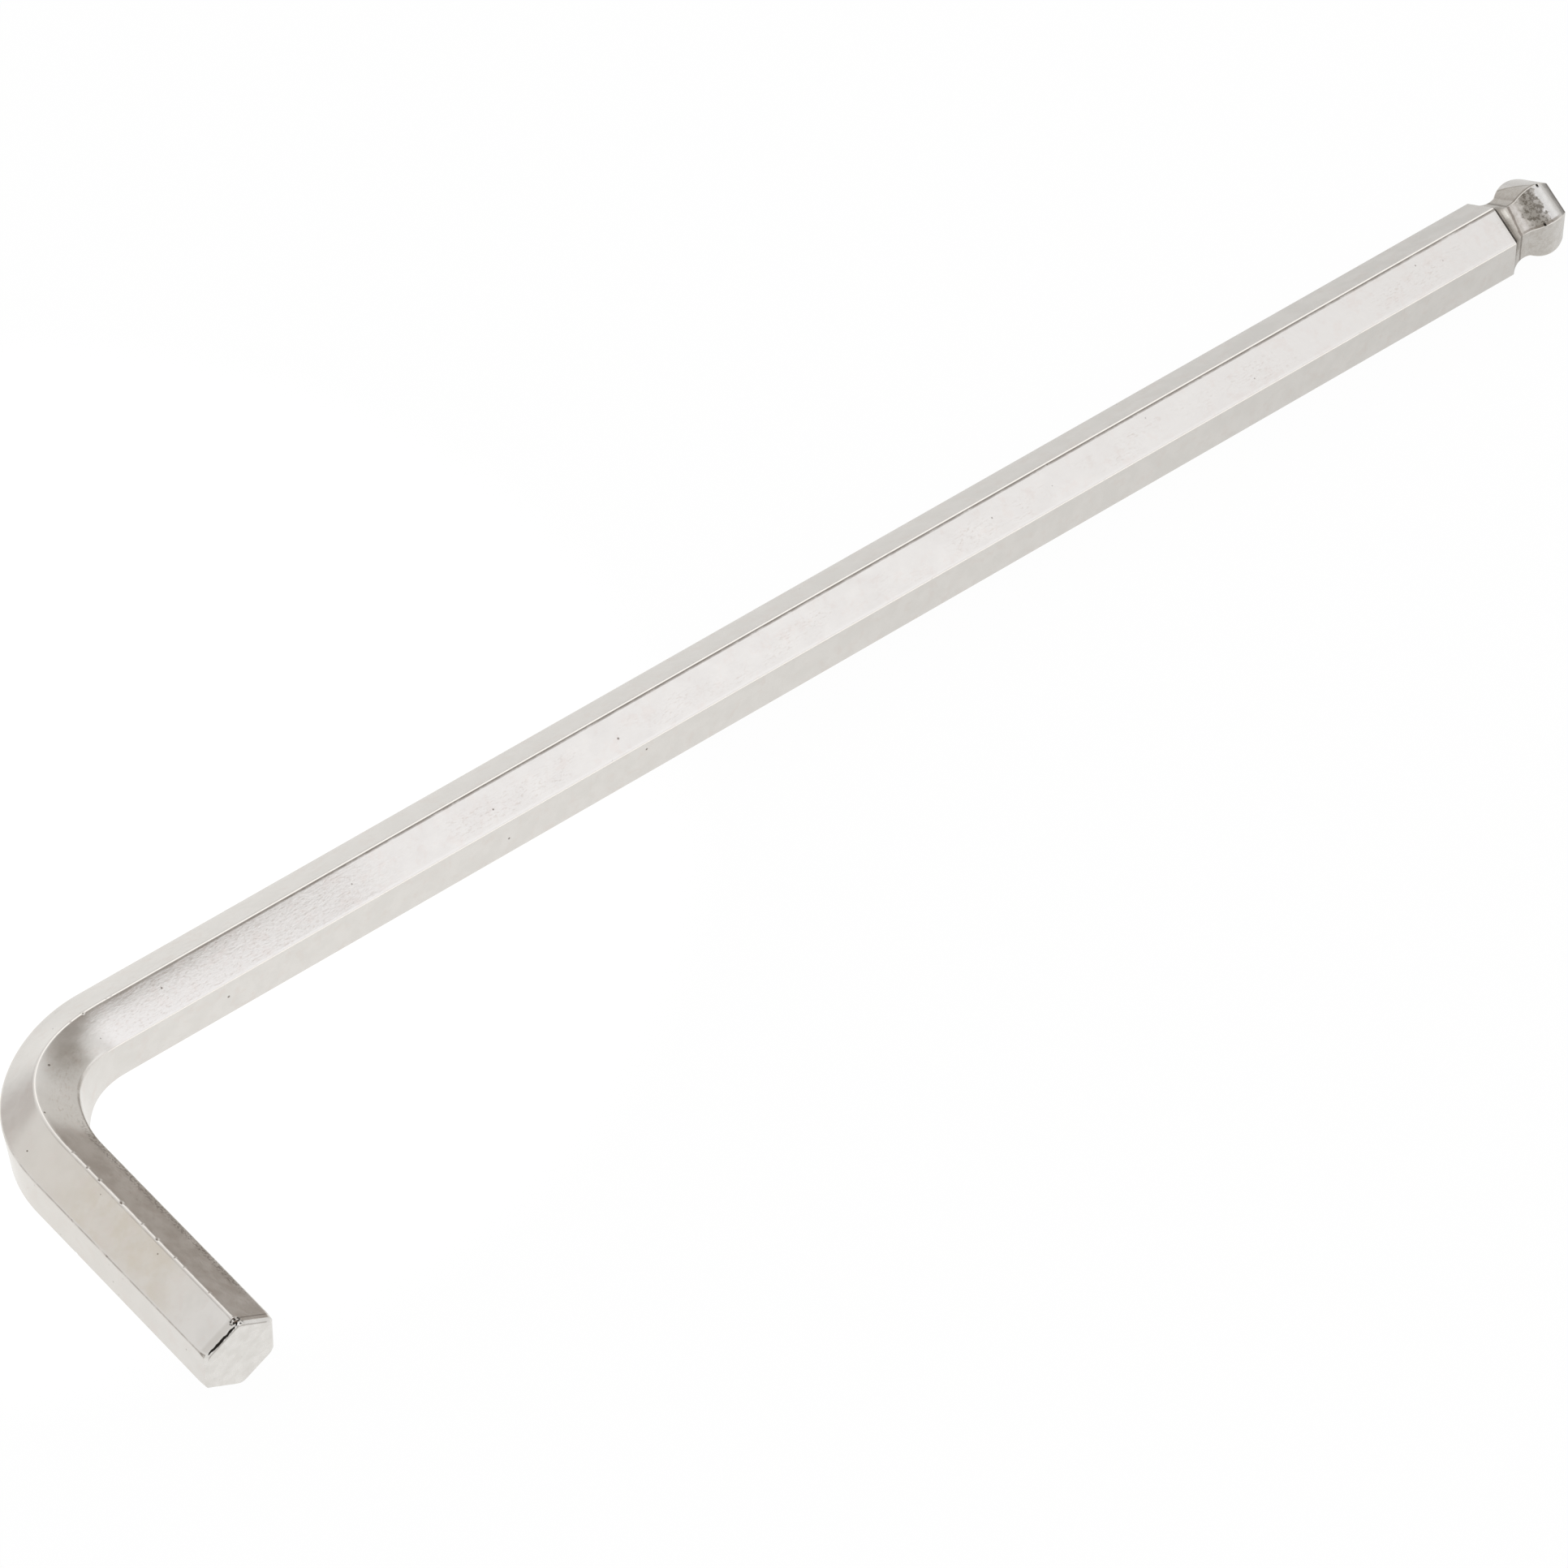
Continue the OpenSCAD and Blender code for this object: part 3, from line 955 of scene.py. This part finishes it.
def mark_neck(finish, past, wander, patchy):
    """Painted shade and black painted shadow lines at the shoulder, a seam that slants across the neck,
    and a painted highlight by it
    """
    tree, across, look = finish.tree, finish.across, finish.look
    top_edge, inner_edge = finish.bar.ridge_place(TOP_RIDGE), finish.bar.ridge_place(INNER_RIDGE)
    # Painted shade in the neck next to the shoulder, darker towards the lower side
    near = ramp(tree, past, 1.5 * MM, 0.3 * MM)
    lower = ramp(tree, across, top_edge - 0.8 * MM, top_edge - 2.4 * MM, 0.2, 0.8)
    finish.tone(overlap(tree, near, lower, patchy), 0.8, NECK_PAINTED_SHADE)
    # A painted shadow line along the shoulder's steep wall, and the seam
    edge = line_mask(tree, past, 0.08 * MM, 0.16 * MM)
    seam_place = ramp(tree, across, inner_edge - 0.5 * MM, top_edge, 1.75 * MM, 2.35 * MM)
    off_seam = compute(tree, "MULTIPLY_ADD", wander, 0.4 * MM, past)
    seam = line_mask(tree, compute(tree, "SUBTRACT", off_seam, seam_place), 0.0, 0.24 * MM)
    finish.tone(highest(tree, edge, compute(tree, "MULTIPLY", seam, 0.7)), 0.9, look.soot)
    # Black painted shadow along the shoulder's wall on the inner top flat
    painted_shoulder_shadow = line_mask(tree, past, 0.2 * MM, 0.32 * MM)
    finish.tone(overlap(tree, painted_shoulder_shadow, finish.flat(INNER_TOP_FLAT)), 0.95, look.burr_and_painted_shade)
    # Painted highlight in the neck by the shoulder
    painted_highlight = overlap(tree, line_mask(tree, past, 1.25 * MM, 0.5 * MM),
                    finish.by_ridge(TOP_RIDGE, -0.95 * MM, 0.75 * MM))
    finish.tone(painted_highlight, 0.75, NECK_PAINTED_HIGHLIGHT)


def mark_ball_ridges(finish, past):
    """Soil beside two of the ball's ridges, a cleaner far flat, ridges rubbed bright with a painted
    highlight, and two black dots
    """
    tree, look, outer = finish.tree, finish.look, finish.flat(OUTER_TOP_FLAT)
    soil = highest(tree, finish.by_ridge(TOP_RIDGE, 0.38 * MM, 0.24 * MM),
                   finish.by_ridge(INNER_RIDGE, 0.38 * MM, 0.24 * MM))
    soil = overlap(tree, soil, window(tree, past, 1.5 * MM, 7.0 * MM, 1.0 * MM))
    finish.tone(soil, 0.75, RIDGE_SOIL)
    off_ridge = compute(tree, "SUBTRACT", finish.across, finish.bar.ridge_place(TOP_RIDGE))
    slanted = compute(tree, "MULTIPLY_ADD", off_ridge, 0.5, past)
    finish.tone(overlap(tree, ramp(tree, slanted, 6.15 * MM, 6.4 * MM), outer), 0.6, BALL_FAR)
    finish.tone(overlap(tree, line_mask(tree, slanted, 6.1 * MM, 0.16 * MM), outer), 0.45, RIDGE_SOIL)
    # Ridges rubbed bright, partly a painted highlight
    wear_and_highlight = finish.put("wear_and_highlight", Ridge=read(tree, "ridge"), Vector=finish.where, Width=0.3 * MM)
    past_neck = ramp(tree, past, 1.5 * MM, 3.0 * MM)
    finish.tone(overlap(tree, wear_and_highlight["Worn"], past_neck), 0.85, look.worn_nickel_and_highlight)
    top_dot = overlap(tree, line_mask(tree, past, 6.2 * MM, 0.22 * MM),
                      finish.by_ridge(TOP_RIDGE, -0.2 * MM, 0.45 * MM))
    inner_dot = overlap(tree, line_mask(tree, past, 4.4 * MM, 0.17 * MM),
                        finish.by_ridge(INNER_RIDGE, 0.3 * MM, 0.34 * MM))
    finish.tone(highest(tree, top_dot, inner_dot), 1.0, look.burr_and_painted_shade)


def milled_finish(bar, look, groups):
    """Plating over the milled neck and ball: residue in the neck and on the ball's back, and painted
    shade, shadow and a highlight at the neck's shoulder
    """
    finish = Finish("Plated milled ball", bar, look, groups)
    tree, where = finish.tree, finish.where
    past = compute(tree, "SUBTRACT", finish.along, bar.shoulder)
    mottle = noise_value(tree, where, 1100.0, 4.0, 0.65)
    finish.begin(mottle, 0.3, 0.7, BALL_DULL, look.nickel)
    wander = noise_value(tree, where, 900.0, 4.0, 0.7)
    patchy = ramp(tree, mottle, 0.2, 0.6)
    film_over_ball(finish, past, wander)
    mark_tip(finish, past, wander, patchy)
    mark_neck(finish, past, wander, patchy)
    mark_ball_ridges(finish, past)
    skin = finish.put("skin", Vector=where, Unrolled=finish.unrolled, Scale=1700.0,
                      Depth=9e-6, Line_Depth=0.0)["Height"]
    return finish.done(ramp(tree, mottle, 0.3, 0.7, 0.3, 0.2), skin)


def towards(azimuth, elevation):
    """Unit vector in a direction given in degrees, the azimuth from +Y towards +X"""
    azimuth, elevation = math.radians(azimuth), math.radians(elevation)
    level = math.cos(elevation)
    return Vector((math.sin(azimuth) * level, math.cos(azimuth) * level, math.sin(elevation)))


WHITE = (1.0, 1.0, 1.0, 1.0)
# Colour of the floor, and how much of what is seen of it is its own glow and not lit by the room
FLOOR_TONE = (0.95, 0.95, 0.95, 1.0)
FLOOR_GLOW = 0.97

# Soft boxes and flags round the key, as azimuth, elevation, angles to the full light and its edge, light
SOFT_LIGHTS = (
    (82.0, 22.0, 12.0, 28.0, (0.77, 0.75, 0.72)),
    (107.0, 35.0, 6.0, 14.0, (1.2, 1.195, 1.19)),
    (86.0, -2.0, 6.0, 17.0, (0.4, 0.385, 0.365)),
    (60.0, -2.0, 8.0, 22.0, (0.37, 0.33, 0.295)),
    (87.0, 52.0, 6.0, 13.0, (0.38, 0.35, 0.31)),
    (158.0, 52.0, 12.0, 28.0, (1.27, 1.27, 1.31)),
    (131.0, 56.0, 2.0, 7.0, (1.36, 1.36, 1.38)),
    (95.0, 68.0, 10.0, 19.0, (0.42, 0.39, 0.36)),
    (154.0, 5.0, 6.0, 20.0, (1.4, 1.39, 1.37)),
    (34.0, 40.0, 7.0, 18.0, (1.4, 1.39, 1.37)),
    (-17.0, 10.0, 10.0, 17.0, (0.72, 0.69, 0.675)),
    (-150.0, 62.0, 14.0, 30.0, (0.8, 0.78, 0.76)),
)


def light_room(studio):
    """World light: an even room with soft boxes and dark flags in it; the camera sees it white"""
    world = bpy.data.worlds.new("Studio room")
    bpy.context.scene.world = world
    world.use_nodes = True
    tree = world.node_tree
    direction = add_node(tree, "ShaderNodeTexCoord").outputs["Generated"]
    light = opaque(studio.room)
    for azimuth, elevation, full, edge, colour in SOFT_LIGHTS:
        facing = add_node(tree, "ShaderNodeVectorMath", {0: direction, 1: towards(azimuth, elevation)},
                          operation="DOT_PRODUCT").outputs["Value"]
        share = ramp(tree, facing, math.cos(math.radians(edge)), math.cos(math.radians(full)))
        light = blend_colours(tree, share, light, opaque(colour))
    camera_ray = add_node(tree, "ShaderNodeLightPath").outputs["Is Camera Ray"]
    light = blend_colours(tree, camera_ray, light, WHITE)
    tree.links.new(light, tree.nodes["Background"].inputs["Color"])


def floor_material(studio):
    """Pale floor: white to the camera, a soft pool of light to the metal, and it keeps the shadow"""
    material = bpy.data.materials.new("Studio floor")
    material.use_nodes = True
    tree = material.node_tree
    tree.nodes.clear()
    diffuse = add_node(tree, "ShaderNodeBsdfDiffuse", {"Color": FLOOR_TONE}).outputs[0]
    path = add_node(tree, "ShaderNodeLightPath").outputs
    place = add_node(tree, "ShaderNodeNewGeometry").outputs["Position"]
    pool = add_node(tree, "ShaderNodeMapRange", {
        "Value": distance_from(tree, studio.pool_place, place), "From Max": studio.pool_reach,
        "To Min": studio.pool_light, "To Max": studio.far_light,
    }).outputs["Result"]
    level = highest(tree, path["Is Camera Ray"], pool)
    tint = blend_colours(tree, path["Is Camera Ray"], opaque(studio.pool_colour), WHITE)
    glow = add_node(tree, "ShaderNodeEmission", {"Color": tint, "Strength": level}).outputs[0]
    seen = highest(tree, path["Is Camera Ray"], path["Is Glossy Ray"])
    share = compute(tree, "MULTIPLY", seen, FLOOR_GLOW)
    mixed = add_node(tree, "ShaderNodeMixShader", {0: share, 1: diffuse, 2: glow}).outputs[0]
    output = add_node(tree, "ShaderNodeOutputMaterial")
    tree.links.new(mixed, output.inputs["Surface"])
    return material


def flat_sheet(name, size, height):
    """A level square sheet"""
    signs = ((-1, -1), (1, -1), (1, 1), (-1, 1))
    points = [(x * size / 2, y * size / 2, height) for x, y in signs]
    mesh = bpy.data.meshes.new(name)
    mesh.from_pydata(points, [], [(0, 1, 2, 3)])
    sheet = bpy.data.objects.new(name, mesh)
    bpy.context.scene.collection.objects.link(sheet)
    return sheet


def place_camera(studio):
    """Camera at the photograph's viewing angle"""
    camera = bpy.data.objects.new("Camera", bpy.data.cameras.new("Camera"))
    bpy.context.scene.collection.objects.link(camera)
    camera.data.lens = studio.lens
    camera.data.clip_end = 10.0 * studio.floor_size
    turn = (
        Matrix.Rotation(-studio.azimuth, 4, "Z")
        @ Matrix.Rotation(math.pi / 2 - studio.elevation, 4, "X")
        @ Matrix.Rotation(studio.roll, 4, "Z")
    )
    back = turn.to_3x3() @ Vector((0.0, 0.0, studio.distance))
    camera.matrix_world = Matrix.Translation(Vector(studio.target) + back) @ turn
    bpy.context.scene.camera = camera


class HEXKEY_OT_key(bpy.types.Operator):
    """Makes the plated key in place of the plain one"""

    bl_idname = "hexkey.key"
    bl_label = "Make Key"
    bl_options = {"REGISTER", "UNDO"}

    def execute(self, context):
        sizes, look = context.scene.hexkey_sizes, context.scene.hexkey_finish
        bar = Bar(sizes)
        key = bpy.data.objects.new("plated_hex_key", key_mesh(bar, sizes))
        context.scene.collection.objects.link(key)
        groups = {
            "pits": pits_group(), "blotches": blotches_group(), "skin": skin_group(),
            "wear_and_highlight": wear_and_highlight_group(), "burr_and_painted_shade": burr_and_chamfer_reflection_group(bar),
        }
        for make_finish in (drawn_finish, sawn_finish, milled_finish):
            key.data.materials.append(make_finish(bar, look, groups))
        weighted = key.modifiers.new("Even flats", "WEIGHTED_NORMAL")
        weighted.weight = 80
        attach(key, "root")
        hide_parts("hex_key")
        return {"FINISHED"}


class HEXKEY_OT_studio(bpy.types.Operator):
    """Makes the floor, the light of the room and the camera"""

    bl_idname = "hexkey.studio"
    bl_label = "Make Studio"
    bl_options = {"REGISTER", "UNDO"}

    def execute(self, context):
        studio = context.scene.hexkey_studio
        context.scene.view_settings.view_transform = "Standard"
        floor = flat_sheet("studio_floor", studio.floor_size, FRAME_LOW.z)
        floor.data.materials.append(floor_material(studio))
        light_room(studio)
        place_camera(studio)
        return {"FINISHED"}


class HEXKEY_PT_tools(bpy.types.Panel):
    """Makes the key and its studio, one step at a time"""

    bl_idname = "HEXKEY_PT_tools"
    bl_label = "Hex Key"
    bl_space_type = "VIEW_3D"
    bl_region_type = "UI"
    bl_category = "Hex Key"

    def draw(self, context):
        layout = self.layout
        for settings, operator in ((("sizes", "finish"), "hexkey.key"), (("studio",), "hexkey.studio")):
            box = layout.box()
            for name in settings:
                group = getattr(context.scene, "hexkey_" + name)
                for field in group.__annotations__:
                    box.prop(group, field)
            box.operator(operator)


GROUPS = {"hexkey_sizes": HexKeySizes, "hexkey_finish": HexKeyFinish, "hexkey_studio": HexKeyStudio}
CLASSES = (*GROUPS.values(), HEXKEY_OT_key, HEXKEY_OT_studio, HEXKEY_PT_tools)


def register():
    """Adds the settings, the two operators and the panel to Blender"""
    for cls in CLASSES:
        bpy.utils.register_class(cls)
    for name, group in GROUPS.items():
        setattr(bpy.types.Scene, name, bpy.props.PointerProperty(type=group))


def unregister():
    """Takes them out again"""
    for name in GROUPS:
        delattr(bpy.types.Scene, name)
    for cls in reversed(CLASSES):
        bpy.utils.unregister_class(cls)


def main():
    """Makes the studio and the key"""
    register()
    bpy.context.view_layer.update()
    bpy.ops.hexkey.studio()
    bpy.ops.hexkey.key()
    bpy.context.view_layer.update()


if __name__ == "__main__":
    main()
